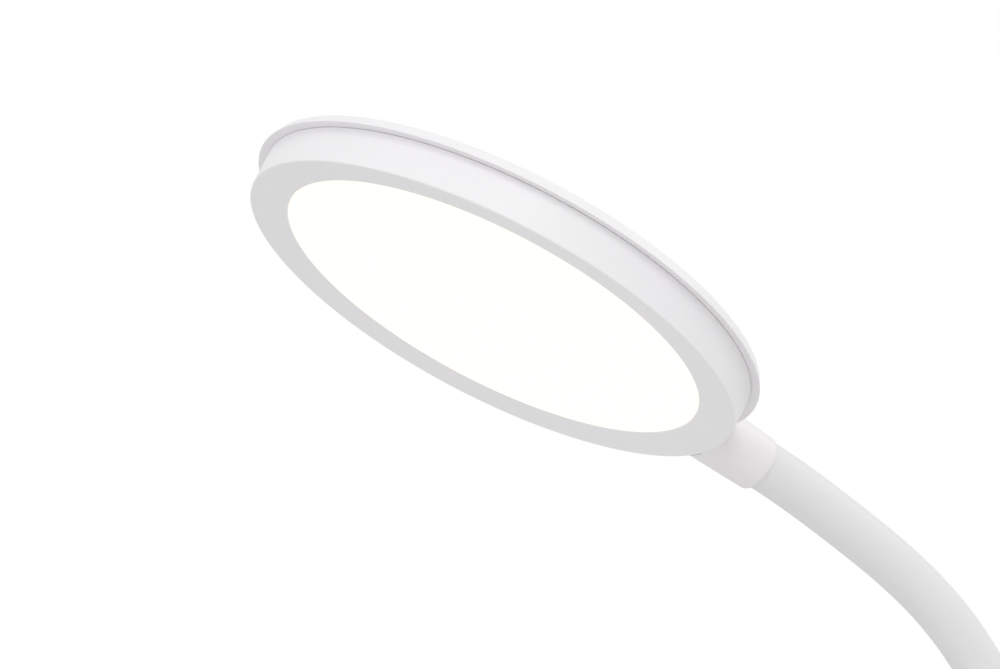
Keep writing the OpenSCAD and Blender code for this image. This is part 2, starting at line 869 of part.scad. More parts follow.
head_housing();
back_cover();
diffuser();
light_guide();
reflector_sheet();
led_strip();
leds();
heat_spreader();
spreader_screws();
neck_socket();
socket_screws();
upper_ferrule();
head_connector();
strip_leads();
neck_link(0);  // link_01
neck_link(1);  // link_02
neck_link(2);  // link_03
neck_link(3);  // link_04
neck_link(4);  // link_05
neck_link(5);  // link_06
neck_link(6);  // link_07
neck_link(7);  // link_08
neck_link(8);  // link_09
neck_link(9);  // link_10
neck_link(10);  // link_11
neck_link(11);  // link_12
neck_link(12);  // link_13
neck_link(13);  // link_14
neck_link(14);  // link_15
neck_sleeve();
lamp_cable();
base_cover();
base_plate();
ballast_plate();
neck_boss();
lower_ferrule();
lock_washer();
ferrule_nut();
base_screws();
foot_pad();
driver_board();
driver_chip();
inductor();
capacitors();
board_connector();
board_screws();
power_inlet();
inlet_pin();
inlet_leads();
switch_body();
switch_plunger();
power_button();
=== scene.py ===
import json
import math

import bpy
from mathutils import Matrix, Vector

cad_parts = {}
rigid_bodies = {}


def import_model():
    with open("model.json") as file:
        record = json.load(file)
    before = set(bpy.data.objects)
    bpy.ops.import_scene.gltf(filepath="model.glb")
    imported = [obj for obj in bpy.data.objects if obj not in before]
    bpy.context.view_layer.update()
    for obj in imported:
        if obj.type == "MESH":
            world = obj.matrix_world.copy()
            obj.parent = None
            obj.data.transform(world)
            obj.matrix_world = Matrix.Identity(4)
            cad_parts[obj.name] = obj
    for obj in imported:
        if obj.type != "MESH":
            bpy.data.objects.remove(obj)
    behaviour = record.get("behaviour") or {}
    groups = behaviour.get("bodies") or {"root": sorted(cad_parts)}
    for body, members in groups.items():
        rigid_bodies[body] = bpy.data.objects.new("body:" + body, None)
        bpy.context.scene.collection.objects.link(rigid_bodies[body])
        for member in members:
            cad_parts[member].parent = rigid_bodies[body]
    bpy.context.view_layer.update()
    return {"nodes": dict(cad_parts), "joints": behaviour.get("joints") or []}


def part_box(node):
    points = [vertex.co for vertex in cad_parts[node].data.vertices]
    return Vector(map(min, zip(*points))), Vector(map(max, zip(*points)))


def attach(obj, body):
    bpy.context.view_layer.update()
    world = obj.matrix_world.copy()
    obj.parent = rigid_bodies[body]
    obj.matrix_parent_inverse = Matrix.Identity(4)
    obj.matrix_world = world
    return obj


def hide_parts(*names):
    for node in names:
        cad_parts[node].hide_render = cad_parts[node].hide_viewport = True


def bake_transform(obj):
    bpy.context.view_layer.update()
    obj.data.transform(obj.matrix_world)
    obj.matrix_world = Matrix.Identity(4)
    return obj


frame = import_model()
mm = 0.001

# Places taken from the frame

neckJoints = [joint for joint in frame["joints"] if joint["name"].startswith("neck")]
jointPlaces = [Vector(joint["pos_m"]) for joint in neckJoints]
neckBodies = [neckJoints[0]["parent"]] + [joint["child"] for joint in neckJoints]
headLean = math.atan2(neckJoints[-1]["axis"][2], neckJoints[-1]["axis"][1])

headPlace = {
    "reach": 93.5 * mm,         # from the head's centre to the last neck joint
    "neckHeight": 8.4 * mm,     # the neck's line above the bezel's outer edge
}


def extentX(node):
    low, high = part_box(node)
    return high.x - low.x


def neckDirection(lean):
    return Vector((0, -math.sin(lean), math.cos(lean)))


# Head pieces are made face down at the origin, neck towards +Y, and then put in place
headFrame = (
    Matrix.Translation(jointPlaces[-1])
    @ Matrix.Rotation(headLean - math.pi / 2, 4, "X")
    @ Matrix.Translation((0, -headPlace["reach"], -headPlace["neckHeight"]))
)

# Modelling helpers


def deselectAll():
    if bpy.context.object and bpy.context.object.mode != "OBJECT":
        bpy.ops.object.mode_set(mode="OBJECT")
    bpy.ops.object.select_all(action="DESELECT")


def makeActive(piece):
    deselectAll()
    piece.select_set(True)
    bpy.context.view_layer.objects.active = piece


def applyPlace(piece):
    makeActive(piece)
    bpy.ops.object.transform_apply(location=True, rotation=True, scale=True)


def putInFrame(piece, place):
    piece.matrix_world = place
    applyPlace(piece)


# Selects, in edit mode, the edges whose two ends both pass the test
def selectEdges(piece, wanted):
    makeActive(piece)
    bpy.ops.object.mode_set(mode="EDIT")
    bpy.ops.mesh.select_mode(type="EDGE")
    bpy.ops.mesh.select_all(action="DESELECT")
    bpy.ops.object.mode_set(mode="OBJECT")
    mesh = piece.data
    for edge in mesh.edges:
        edge.select = all(wanted(mesh.vertices[v].co) for v in edge.vertices)
    bpy.ops.object.mode_set(mode="EDIT")


def onCircle(radius, height, slack=0.02 * mm):
    def wanted(co):
        return abs(math.hypot(co.x, co.y) - radius) < slack and abs(co.z - height) < slack
    return wanted


def bevelEdges(piece, wanted, width, segments=4):
    selectEdges(piece, wanted)
    bpy.ops.mesh.bevel(offset=width, segments=segments, profile=0.5, affect="EDGES")
    bpy.ops.object.mode_set(mode="OBJECT")


def closeRing(piece, radius, height):
    selectEdges(piece, onCircle(radius, height))
    bpy.ops.mesh.edge_face_add()
    bpy.ops.object.mode_set(mode="OBJECT")


def addModifier(piece, kind, **settings):
    makeActive(piece)
    bpy.ops.object.modifier_add(type=kind)
    modifier = piece.modifiers[-1]
    for name, value in settings.items():
        setattr(modifier, name, value)
    bpy.ops.object.modifier_apply(modifier=modifier.name)


def smoothFlats(piece, angle=35):
    makeActive(piece)
    bpy.ops.object.shade_smooth_by_angle(angle=math.radians(angle))
    addModifier(piece, "WEIGHTED_NORMAL", keep_sharp=True, weight=80)


# Turns a profile of (radius, height) pairs round the Z axis, ring by ring; a radius of 0 closes it
def turnedShell(name, profile, sides=128, closed=False):
    deselectAll()
    firstRadius, firstHeight = profile[0]
    bpy.ops.mesh.primitive_circle_add(vertices=sides, radius=firstRadius, location=(0, 0, firstHeight))
    piece = bpy.context.object
    piece.name = name
    applyPlace(piece)
    bpy.ops.object.mode_set(mode="EDIT")
    bpy.ops.mesh.select_mode(type="VERT")
    bpy.ops.mesh.select_all(action="SELECT")
    radius, height = firstRadius, firstHeight
    for nextRadius, nextHeight in profile[1:] + (profile[:1] if closed else []):
        bpy.ops.mesh.extrude_region_move(
            TRANSFORM_OT_translate={"value": (0, 0, nextHeight - height)})
        if nextRadius == 0:
            bpy.ops.mesh.merge(type="CENTER")
            break
        grow = nextRadius / radius
        bpy.ops.transform.resize(value=(grow, grow, 1), center_override=(0, 0, nextHeight))
        radius, height = nextRadius, nextHeight
    bpy.ops.mesh.select_all(action="SELECT")
    bpy.ops.mesh.remove_doubles(threshold=0.001 * mm)
    bpy.ops.mesh.normals_make_consistent(inside=False)
    bpy.ops.object.mode_set(mode="OBJECT")
    return piece


# A cylinder, or a cone where the end has a radius of its own
def addRod(name, radius, start, end, sides=64, endRadius=None):
    deselectAll()
    start, end = Vector(start), Vector(end)
    turn = (end - start).to_track_quat("Z", "Y").to_euler()
    bpy.ops.mesh.primitive_cone_add(
        vertices=sides, radius1=radius, radius2=endRadius or radius, depth=(end - start).length,
        location=(start + end) / 2, rotation=turn)
    rod = bpy.context.object
    rod.name = name
    applyPlace(rod)
    return rod


def addBlock(place, size):
    deselectAll()
    bpy.ops.mesh.primitive_cube_add(size=size, location=place)
    block = bpy.context.object
    applyPlace(block)
    return block


def cutAway(piece, *cutters):
    for cutter in cutters:
        addModifier(piece, "BOOLEAN", operation="DIFFERENCE", object=cutter, solver="EXACT")
        bpy.data.objects.remove(cutter)


# Pushes a ring along stations of (place, lean) in the YZ plane, and on round a ball's belt to end it
def sweptTube(name, stations, radius, sides, wall=None, belt=()):
    deselectAll()
    place, lean = stations[0]
    bpy.ops.mesh.primitive_circle_add(
        vertices=sides, radius=radius, location=place, rotation=(lean, 0, 0))
    tube = bpy.context.object
    tube.name = name
    applyPlace(tube)
    bpy.ops.object.mode_set(mode="EDIT")
    bpy.ops.mesh.select_mode(type="VERT")
    bpy.ops.mesh.select_all(action="SELECT")
    if wall is None:
        bpy.ops.mesh.edge_face_add()
    for nextPlace, nextLean in stations[1:]:
        bpy.ops.mesh.extrude_region_move(TRANSFORM_OT_translate={"value": nextPlace - place})
        if nextLean != lean:
            bpy.ops.transform.rotate(value=lean - nextLean, orient_axis="X", center_override=nextPlace)
        place, lean = nextPlace, nextLean
    onward = (place - stations[-2][0]).dot(neckDirection(lean))
    axis = math.copysign(1, onward) * neckDirection(lean)
    turned = 0
    for turn in belt:
        bpy.ops.mesh.extrude_region_move(TRANSFORM_OT_translate={
            "value": radius * (math.sin(turn) - math.sin(turned)) * axis})
        shrink = math.cos(turn) / math.cos(turned)
        bpy.ops.transform.resize(value=(shrink, shrink, shrink),
                                 center_override=place + radius * math.sin(turn) * axis)
        turned = turn
    bpy.ops.mesh.select_all(action="SELECT")
    bpy.ops.mesh.normals_make_consistent(inside=False)
    bpy.ops.object.mode_set(mode="OBJECT")
    if wall is not None:
        addModifier(tube, "SOLIDIFY", thickness=wall, offset=-1)
    makeActive(tube)
    bpy.ops.object.shade_smooth_by_angle(angle=math.radians(40))
    return tube


# The head

headShape = {
    "bezelEdge": 70.5 * mm,     # radius of the bezel's outer edge
    "window": 60 * mm,          # radius of the lens opening
    "dish": 1.4 * mm,           # how far the bezel slopes in towards the lens
    "windowRound": 0.4 * mm,
    "wallTopRound": 0.05 * mm,
    "wallHeight": 10 * mm,
    "wallThickness": 2.2 * mm,
    "edgeRound": 0.5 * mm,
    "floor": 2.4 * mm,          # height of the bezel's inner face
    "lensSeat": 2.1 * mm,
    "seatGap": 0.2 * mm,        # round the lens's flange
    "sides": 192,
}


def makeHeadShell():
    shape = headShape
    wallTop = extentX("head_housing") / 2
    bore = shape["bezelEdge"] - shape["wallThickness"]
    seat = extentX("diffuser") / 2 + shape["seatGap"]
    shell = turnedShell("headShell", [
        (shape["window"], shape["dish"]), (shape["bezelEdge"], 0), (wallTop, shape["wallHeight"]),
        (bore, shape["wallHeight"]), (bore, shape["floor"]), (seat, shape["floor"]),
        (seat, shape["lensSeat"]), (shape["window"], shape["lensSeat"]),
    ], shape["sides"], closed=True)
    bevelEdges(shell, onCircle(shape["bezelEdge"], 0), shape["edgeRound"], 6)
    bevelEdges(shell, onCircle(shape["window"], shape["dish"]), shape["windowRound"], 4)
    bevelEdges(shell, onCircle(wallTop, shape["wallHeight"]), shape["wallTopRound"], 2)
    smoothFlats(shell)
    putInFrame(shell, headFrame)
    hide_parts("head_housing")
    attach(shell, "head")
    return shell


coverShape = {
    "underside": 10.1 * mm,
    "edge": 2.9 * mm,
    "taper": 1.3 * mm,          # how much narrower its back is than its rim
    "topRound": 0.65 * mm,
    "bottomRound": 0.15 * mm,
    "innerRing": 20 * mm,       # where the flat middles begin
    "skin": 1.6 * mm,
    "hollow": 65.5 * mm,        # radius of the hollow inside the cover
    "spigot": 68.1 * mm,
    "spigotThickness": 1.2 * mm,
    "spigotStart": 8.1 * mm,
}


def makeHeadCover():
    shape = coverShape
    outer = extentX("back_cover") / 2
    top = shape["underside"] + shape["edge"]
    inner = shape["spigot"] - shape["spigotThickness"]
    cover = turnedShell("headCover", [
        (shape["innerRing"], top - shape["skin"]), (shape["hollow"], top - shape["skin"]),
        (shape["hollow"], shape["underside"]), (inner, shape["underside"]), (inner, shape["spigotStart"]),
        (shape["spigot"], shape["spigotStart"]), (shape["spigot"], shape["underside"]),
        (outer, shape["underside"]), (outer - shape["taper"], top), (shape["innerRing"], top), (0, top),
    ], headShape["sides"])
    closeRing(cover, shape["innerRing"], top - shape["skin"])
    bevelEdges(cover, onCircle(outer - shape["taper"], top), shape["topRound"], 5)
    bevelEdges(cover, onCircle(outer, shape["underside"]), shape["bottomRound"], 2)
    smoothFlats(cover)
    putInFrame(cover, headFrame)
    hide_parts("back_cover")
    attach(cover, "head")
    return cover


lensShape = {
    "frontRadius": 59.9 * mm,
    "frontHeight": 1.45 * mm,   # of its face, level with the bezel's inner edge
    "frontRound": 0.1 * mm,
    "flange": 0.8 * mm,
    "innerRing": 30 * mm,       # where the flat middles begin
    "opal": (0.3, 0.3, 0.28),
    "glow": (0.95, 0.93, 0.72),
    "rimGlow": (0.80, 0.73, 0.69),
    "fringe": 1.5 * mm,         # width of the warm fringe at the lens's edge
    "strength": 1.0,
}


def makeLens():
    shape = lensShape
    flangeRadius = extentX("diffuser") / 2
    seat = headShape["lensSeat"]
    back = seat + shape["flange"]
    lens = turnedShell("lens", [
        (shape["innerRing"], shape["frontHeight"]), (shape["frontRadius"], shape["frontHeight"]),
        (shape["frontRadius"], seat), (flangeRadius, seat), (flangeRadius, back),
        (shape["innerRing"], back), (0, back),
    ], headShape["sides"])
    closeRing(lens, shape["innerRing"], shape["frontHeight"])
    bevelEdges(lens, onCircle(shape["frontRadius"], shape["frontHeight"]), shape["frontRound"], 2)
    smoothFlats(lens)
    putInFrame(lens, headFrame)
    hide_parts("diffuser")
    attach(lens, "head")
    return lens


collarShape = {
    "end": 89.4 * mm,           # from the head's centre
    "root": 68.3 * mm,
    "rootRadius": 8.5 * mm,
    "endRadius": 7.9 * mm,
    "drop": 0.5 * mm,           # of its middle below the neck's line
    "endRound": 2 * mm,
    "mouth": 7.0 * mm,          # radius of the hole that takes the sleeve
    "mouthDepth": 8 * mm,
    "slope": math.radians(40),  # of the flat that clears the cover
    "coverGap": 0.2 * mm,
    "cutSize": 40 * mm,
}


def makeCollar():
    shape = collarShape
    height = headPlace["neckHeight"]
    middle = height - shape["drop"]
    collar = addRod("neckCollar", shape["rootRadius"], (0, shape["root"], middle),
                    (0, shape["end"], middle), 96, shape["endRadius"])
    bevelEdges(collar, lambda co: co.y > shape["end"] - 0.1 * mm, shape["endRound"], 8)
    coverTop = coverShape["underside"] + coverShape["edge"]
    coverRadius = extentX("back_cover") / 2 + shape["coverGap"]
    mouth = addRod("mouthCut", shape["mouth"], (0, shape["end"] - shape["mouthDepth"], height),
                   (0, shape["end"] + 10 * mm, height), 96)
    coverCut = addRod("coverCut", coverRadius, (0, 0, coverShape["underside"] - shape["coverGap"]),
                      (0, 0, coverTop + shape["coverGap"]), headShape["sides"],
                      coverRadius - coverShape["taper"])
    size = shape["cutSize"]
    slopeCut = addBlock((0, 0, size / 2), size)
    slopePlace = Matrix.Translation((0, coverRadius, coverTop))
    putInFrame(slopeCut, slopePlace @ Matrix.Rotation(shape["slope"], 4, "X"))
    undersideCut = addBlock((0, shape["end"], -size / 2), size)
    wallTop = extentX("head_housing") / 2
    headCut = addRod("headCut", 2 * headShape["bezelEdge"] - wallTop, (0, 0, -headShape["wallHeight"]),
                     (0, 0, headShape["wallHeight"]), headShape["sides"], wallTop)
    cutAway(collar, mouth, coverCut, slopeCut, undersideCut, headCut)
    smoothFlats(collar, 40)
    putInFrame(collar, headFrame)
    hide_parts("neck_socket")
    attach(collar, "head")
    return collar


# The neck

neckShape = {
    "sleeveWall": 1.65 * mm,
    "cableRadius": 1.5 * mm,
    "sleeveSides": 64,
    "cableSides": 16,
    "seamStep": 0.02,           # share of a link that the ring next to a seam stands from it
    "bossMouth": 39.5 * mm,     # height where the sleeve leaves the boss
    "sleeveInHead": 12.1 * mm,  # how far the sleeve runs on past the last joint
    "collarMouth": 4.1 * mm,    # from the last joint to the collar's mouth
    "plugAt": 47.5 * mm,        # from the last joint to the plug's end inside the head
    "creaseAt": "neck_upper_bend",                          # see makeCrease
    "belt": [math.radians(a) for a in (4, 8, 12, 16, 20)],  # how far round a ball each half runs on
}


def linkLeans():
    leans = [0.0]
    for low, high in zip(jointPlaces, jointPlaces[1:]):
        chord = high - low
        leans.append(2 * math.atan2(-chord.y, chord.z) - leans[-1])
    return leans


leans = linkLeans()
linkCount = len(jointPlaces) - 1


# Place and lean at a share of the arc of a link
def onLink(link, share):
    turn = leans[link + 1] - leans[link]
    chord = (jointPlaces[link + 1] - jointPlaces[link]).length
    if abs(turn) < 1e-6:
        reach = chord * share
    else:
        reach = chord * math.sin(turn * share / 2) / math.sin(turn / 2)
    place = jointPlaces[link] + reach * neckDirection(leans[link] + turn * share / 2)
    return place, leans[link] + turn * share


def tubeStations(joint, below, above):
    step = neckShape["seamStep"]
    if joint == 0:
        stations = [(jointPlaces[0] - Vector((0, 0, d)), 0.0) for d in (below, below / 2, below / 4)]
    else:
        stations = [onLink(joint - 1, s) for s in (0.5, 0.5 + step, 0.625, 0.75, 0.875)]
    if joint == linkCount:
        stations += [(jointPlaces[-1] + d * neckDirection(headLean), headLean)
                     for d in (0, above / 4, above / 2, above)]
    else:
        stations += [onLink(joint, s) for s in (0, 0.125, 0.25, 0.375, 0.5 - step, 0.5)]
    return stations


# Two halves, each fixed to its own link, that meet in a ball on the joint. They stand in for a blend across
# the joint, which strays by 80 mm there when every joint is at its lower limit
def makeCrease(name, joint, stations, radius, sides, wall):
    at = [place for place, lean in stations].index(jointPlaces[joint])
    halves = []
    for side, half, body in [("Lower", stations[:at + 1], neckBodies[joint]),
                             ("Upper", stations[:at - 1:-1], neckBodies[joint + 1])]:
        tube = sweptTube(name + side, half, radius, sides, wall, neckShape["belt"])
        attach(tube, body)
        halves.append(tube)
    return halves


def makeNeckTubes(name, radius, sides, wall, below, above, node):
    tubes = []
    for joint in range(linkCount + 1):
        stations = tubeStations(joint, below, above)
        title = f"{name}{joint + 1:02d}"
        if neckJoints[joint]["name"] == neckShape["creaseAt"]:
            tubes += makeCrease(title, joint, stations, radius, sides, wall)
            continue
        tube = sweptTube(title, stations, radius, sides, wall)
        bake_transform(tube)
        tubes.append(tube)
    for tube in tubes:
        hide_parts(node)
    return tubes


def makeSleeve():
    radius = extentX("neck_sleeve") / 2
    below = jointPlaces[0].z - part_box("neck_sleeve")[0].z
    return makeNeckTubes("neckSleeve", radius, neckShape["sleeveSides"], neckShape["sleeveWall"],
                         below, neckShape["sleeveInHead"], "neck_sleeve")


# The cable's route through the base, the same points as its solid's
cableRoute = [(-10.5, 17.5), (-5, 17.5), (2, 17), (9, 15.5), (15, 13.5), (21, 11.5), (26, 10.5),
              (30, 11), (33, 13.5), (34, 18), (34, 25), (34, 32)]


def makeCable():
    radius = neckShape["cableRadius"]
    places = [Vector((0, y * mm, z * mm)) for y, z in cableRoute]
    stations = []
    for i, place in enumerate(places):
        way = places[min(i + 1, len(places) - 1)] - places[max(i - 1, 0)]
        stations.append((place, math.atan2(-way.y, way.z)))
    inBase = sweptTube("cableInBase", stations, radius, neckShape["cableSides"])
    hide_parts("lamp_cable")
    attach(inBase, "base")
    below = jointPlaces[0].z - places[-1].z
    tubes = makeNeckTubes("cable", radius, neckShape["cableSides"], None,
                          below, neckShape["plugAt"], "lamp_cable")
    return [inBase] + tubes


# The base

past = 2 * mm                   # how far a cutter stands out past what it cuts

baseShape = {
    "bottom": 2 * mm,
    "topRound": 7 * mm,
    "footRound": 0.6 * mm,
    "wall": 2.4 * mm,
    "skin": 2.6 * mm,
    "buttonGap": 0.2 * mm,
    "holeRound": 0.4 * mm,
    "neckHole": 6 * mm,
    "inletHole": 4.22 * mm,
    "innerRing": 30 * mm,       # where the flat middles begin
    "sides": 192,
}


def makeBaseShell():
    shape = baseShape
    low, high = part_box("base_cover")
    radius, top = high.x, high.z
    bore = radius - shape["wall"]
    under = top - shape["skin"]
    shell = turnedShell("baseShell", [
        (shape["innerRing"], under), (bore, under), (bore, shape["bottom"]), (radius, shape["bottom"]),
        (radius, top), (shape["innerRing"], top),
    ], shape["sides"])
    closeRing(shell, shape["innerRing"], under)
    closeRing(shell, shape["innerRing"], top)
    bevelEdges(shell, onCircle(radius, top), shape["topRound"], 12)
    bevelEdges(shell, onCircle(bore, under), shape["topRound"] - shape["wall"], 6)
    bevelEdges(shell, onCircle(radius, shape["bottom"]), shape["footRound"], 3)
    buttonLow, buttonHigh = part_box("power_button")
    buttonPlace = (buttonLow + buttonHigh) / 2
    inletLow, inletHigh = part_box("power_inlet")
    inletHeight = (inletLow.z + inletHigh.z) / 2
    hole, lip = buttonShape["radius"] + shape["buttonGap"], shape["holeRound"]
    mouth = [(hole + lip * (1 - math.cos(turn)), top - lip * (1 - math.sin(turn)))
             for turn in (0, math.pi / 6, math.pi / 3)]
    buttonCut = turnedShell("buttonCut", [(hole, under - past)] + mouth + [
        (hole + lip, top + 0.02 * mm), (hole + lip, top + past), (0, top + past),
    ], 96)
    closeRing(buttonCut, hole, under - past)
    putInFrame(buttonCut, Matrix.Translation((buttonPlace.x, buttonPlace.y, 0)))
    neckCut = addRod("neckCut", shape["neckHole"], (0, jointPlaces[0].y, under - past),
                     (0, jointPlaces[0].y, top + past), 64)
    inletCut = addRod("inletCut", shape["inletHole"], (0, bore - past, inletHeight),
                      (0, radius + past, inletHeight), 64)
    cutAway(shell, buttonCut, neckCut, inletCut)
    smoothFlats(shell)
    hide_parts("base_cover")
    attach(shell, "base")
    return shell


buttonShape = {
    "radius": 9 * mm,
    "flange": 1.5 * mm,
    "stubRadius": 2.2 * mm,
    "edgeRound": 0.8 * mm,
    "dish": [(7.6, 0), (6.6, -0.16), (5.2, -0.32), (3.4, -0.44), (1.6, -0.5)],
    "sides": 96,
}


def makeButton():
    shape = buttonShape
    low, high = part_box("power_button")
    flange = (high.x - low.x) / 2
    top = high.z
    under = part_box("base_cover")[1].z - baseShape["skin"]
    dish = [(radius * mm, top + depth * mm) for radius, depth in shape["dish"]]
    button = turnedShell("buttonCap", [
        (shape["stubRadius"], low.z), (shape["stubRadius"], under - shape["flange"]),
        (flange, under - shape["flange"]), (flange, under), (shape["radius"], under), (shape["radius"], top),
    ] + dish + [(0, dish[-1][1])], shape["sides"])
    closeRing(button, shape["stubRadius"], low.z)
    bevelEdges(button, onCircle(shape["radius"], top), shape["edgeRound"], 4)
    smoothFlats(button, 50)
    putInFrame(button, Matrix.Translation(((low.x + high.x) / 2, (low.y + high.y) / 2, 0)))
    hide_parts("power_button")
    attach(button, "button")
    return button


bossShape = {
    "footRadius": 13.5 * mm,
    "footHeight": 1 * mm,
    "topRadius": 8.7 * mm,
    "topRound": 1 * mm,
    "footRound": 0.5 * mm,
    "mouth": 7.1 * mm,
    "waist": [(12.1, 1.9), (10.9, 3.6), (10.0, 6.0), (9.3, 9.0)],
    "sides": 96,
}


def makeBoss():
    shape = bossShape
    low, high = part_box("neck_boss")
    rise = high.z - low.z
    waist = [(radius * mm, height * mm) for radius, height in shape["waist"]]
    boss = turnedShell("neckBoss", [
        (shape["mouth"], 0), (shape["footRadius"], 0), (shape["footRadius"], shape["footHeight"]),
    ] + waist + [(shape["topRadius"], rise), (shape["mouth"], rise)], shape["sides"], closed=True)
    bevelEdges(boss, onCircle(shape["topRadius"], rise), shape["topRound"], 4)
    bevelEdges(boss, onCircle(shape["footRadius"], shape["footHeight"]), shape["footRound"], 3)
    smoothFlats(boss, 50)
    putInFrame(boss, Matrix.Translation((0, jointPlaces[0].y, low.z)))
    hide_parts("neck_boss")
    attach(boss, "base")
    return boss


padShape = {
    "grooves": [16, 26, 36, 46, 54],    # radii of the rings pressed in its face, in mm
    "grooveWidth": 1.6 * mm,
    "grooveDepth": 0.5 * mm,
    "grooveSlope": 0.3 * mm,
    "edgeRound": 0.4 * mm,
    "innerRing": 8 * mm,                # where the flat middles begin
    "sides": 160,
}


def makePad():
    shape = padShape
    low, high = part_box("foot_pad")
    slope, depth = shape["grooveSlope"], shape["grooveDepth"]
    profile = [(shape["innerRing"], high.z), (high.x, high.z), (high.x, low.z)]
    for radius in reversed(shape["grooves"]):
        outer, inner = radius * mm + shape["grooveWidth"] / 2, radius * mm - shape["grooveWidth"] / 2
        profile += [(outer, low.z), (outer - slope, low.z + depth), (inner + slope, low.z + depth),
                    (inner, low.z)]
    profile += [(shape["innerRing"], low.z), (0, low.z)]
    pad = turnedShell("footPad", profile, shape["sides"])
    closeRing(pad, shape["innerRing"], high.z)
    bevelEdges(pad, onCircle(high.x, low.z), shape["edgeRound"], 3)
    smoothFlats(pad)
    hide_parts("foot_pad")
    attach(pad, "base")
    return pad


# Finishes


def newGroup(name, inputs, outputs):
    group = bpy.data.node_groups.new(name, "ShaderNodeTree")
    for kind, title, value in inputs:
        socket = group.interface.new_socket(name=title, in_out="INPUT", socket_type=kind)
        if value is not None:
            socket.default_value = value
    for kind, title in outputs:
        group.interface.new_socket(name=title, in_out="OUTPUT", socket_type=kind)
    return group, group.nodes.new("NodeGroupInput"), group.nodes.new("NodeGroupOutput")


def addNode(tree, kind, **settings):
    node = tree.nodes.new(kind)
    for name, value in settings.items():
        setattr(node, name, value)
    return node


def setInputs(node, **values):
    for name, value in values.items():
        node.inputs[name.replace("_", " ")].default_value = value


# Fine pits and grains of a spark-eroded mould: a height, and a mask for roughness
def buildMouldGrain():
    group, into, out = newGroup("mouldGrain", [
        ("NodeSocketVector", "Place", None), ("NodeSocketFloat", "Size", 0.0006),
    ], [("NodeSocketFloat", "Height"), ("NodeSocketFloat", "Mask")])
    invert = addNode(group, "ShaderNodeMath", operation="DIVIDE")
    invert.inputs[0].default_value = 1.0
    fine = addNode(group, "ShaderNodeTexNoise")
    setInputs(fine, Detail=3.0, Roughness=0.6)
    pits = addNode(group, "ShaderNodeTexVoronoi", feature="SMOOTH_F1")
    setInputs(pits, Smoothness=0.5)
    mix = addNode(group, "ShaderNodeMath", operation="MULTIPLY_ADD")
    mix.inputs[1].default_value = 0.5
    link = group.links.new
    link(into.outputs["Size"], invert.inputs[1])
    for texture in (fine, pits):
        link(into.outputs["Place"], texture.inputs["Vector"])
        link(invert.outputs[0], texture.inputs["Scale"])
    link(pits.outputs["Distance"], mix.inputs[0])
    link(fine.outputs["Fac"], mix.inputs[2])
    link(mix.outputs[0], out.inputs["Height"])
    link(fine.outputs["Fac"], out.inputs["Mask"])
    return group


# Slow drift between two close tints, as moulded plastic and rubber show
def buildTintDrift():
    group, into, out = newGroup("tintDrift", [
        ("NodeSocketVector", "Place", None), ("NodeSocketFloat", "Scale", 20.0),
        ("NodeSocketColor", "Tint", (0.8, 0.8, 0.8, 1)), ("NodeSocketColor", "Other", (0.8, 0.8, 0.8, 1)),
    ], [("NodeSocketColor", "Color")])
    cloud = addNode(group, "ShaderNodeTexNoise")
    setInputs(cloud, Detail=2.0, Roughness=0.5)
    spread = addNode(group, "ShaderNodeMapRange")
    setInputs(spread, From_Min=0.35, From_Max=0.65)
    mix = addNode(group, "ShaderNodeMix", data_type="RGBA")
    link = group.links.new
    link(into.outputs["Place"], cloud.inputs["Vector"])
    link(into.outputs["Scale"], cloud.inputs["Scale"])
    link(cloud.outputs["Fac"], spread.inputs["Value"])
    link(spread.outputs["Result"], mix.inputs["Factor"])
    link(into.outputs["Tint"], mix.inputs["A"])
    link(into.outputs["Other"], mix.inputs["B"])
    link(mix.outputs["Result"], out.inputs["Color"])
    return group


# Faint marks of handling: patches where the gloss changes
def buildHandling():
    group, into, out = newGroup("handling", [
        ("NodeSocketVector", "Place", None), ("NodeSocketFloat", "Scale", 35.0),
        ("NodeSocketFloat", "Low", 0.3), ("NodeSocketFloat", "High", 0.4),
    ], [("NodeSocketFloat", "Roughness")])
    patch = addNode(group, "ShaderNodeTexNoise")
    setInputs(patch, Detail=4.0, Roughness=0.65, Distortion=0.4)
    spread = addNode(group, "ShaderNodeMapRange")
    setInputs(spread, From_Min=0.3, From_Max=0.7)
    link = group.links.new
    link(into.outputs["Place"], patch.inputs["Vector"])
    link(into.outputs["Scale"], patch.inputs["Scale"])
    link(patch.outputs["Fac"], spread.inputs["Value"])
    link(into.outputs["Low"], spread.inputs["To Min"])
    link(into.outputs["High"], spread.inputs["To Max"])
    link(spread.outputs["Result"], out.inputs["Roughness"])
    return group


# Fine parallel lines of rolled or drawn metal along one axis
def buildDrawnLines():
    group, into, out = newGroup("drawnLines", [
        ("NodeSocketVector", "Place", None), ("NodeSocketFloat", "Fineness", 900.0),
    ], [("NodeSocketFloat", "Height")])
    stretch = addNode(group, "ShaderNodeMapping")
    stretch.inputs["Scale"].default_value = (1.0, 0.03, 1.0)
    lines = addNode(group, "ShaderNodeTexNoise")
    setInputs(lines, Detail=2.0, Roughness=0.7)
    link = group.links.new
    link(into.outputs["Place"], stretch.inputs["Vector"])
    link(stretch.outputs["Vector"], lines.inputs["Vector"])
    link(into.outputs["Fineness"], lines.inputs["Scale"])
    link(lines.outputs["Fac"], out.inputs["Height"])
    return group


mouldGrain = buildMouldGrain()
tintDrift = buildTintDrift()
handling = buildHandling()
drawnLines = buildDrawnLines()


def addGroup(tree, group, place, **values):
    node = tree.nodes.new("ShaderNodeGroup")
    node.node_tree = group
    tree.links.new(place.outputs["Object"], node.inputs["Place"])
    setInputs(node, **values)
    return node


def startMaterial(name):
    material = bpy.data.materials.new(name)
    material.use_nodes = True
    tree = material.node_tree
    return material, tree, tree.nodes["Principled BSDF"], tree.nodes.new("ShaderNodeTexCoord")


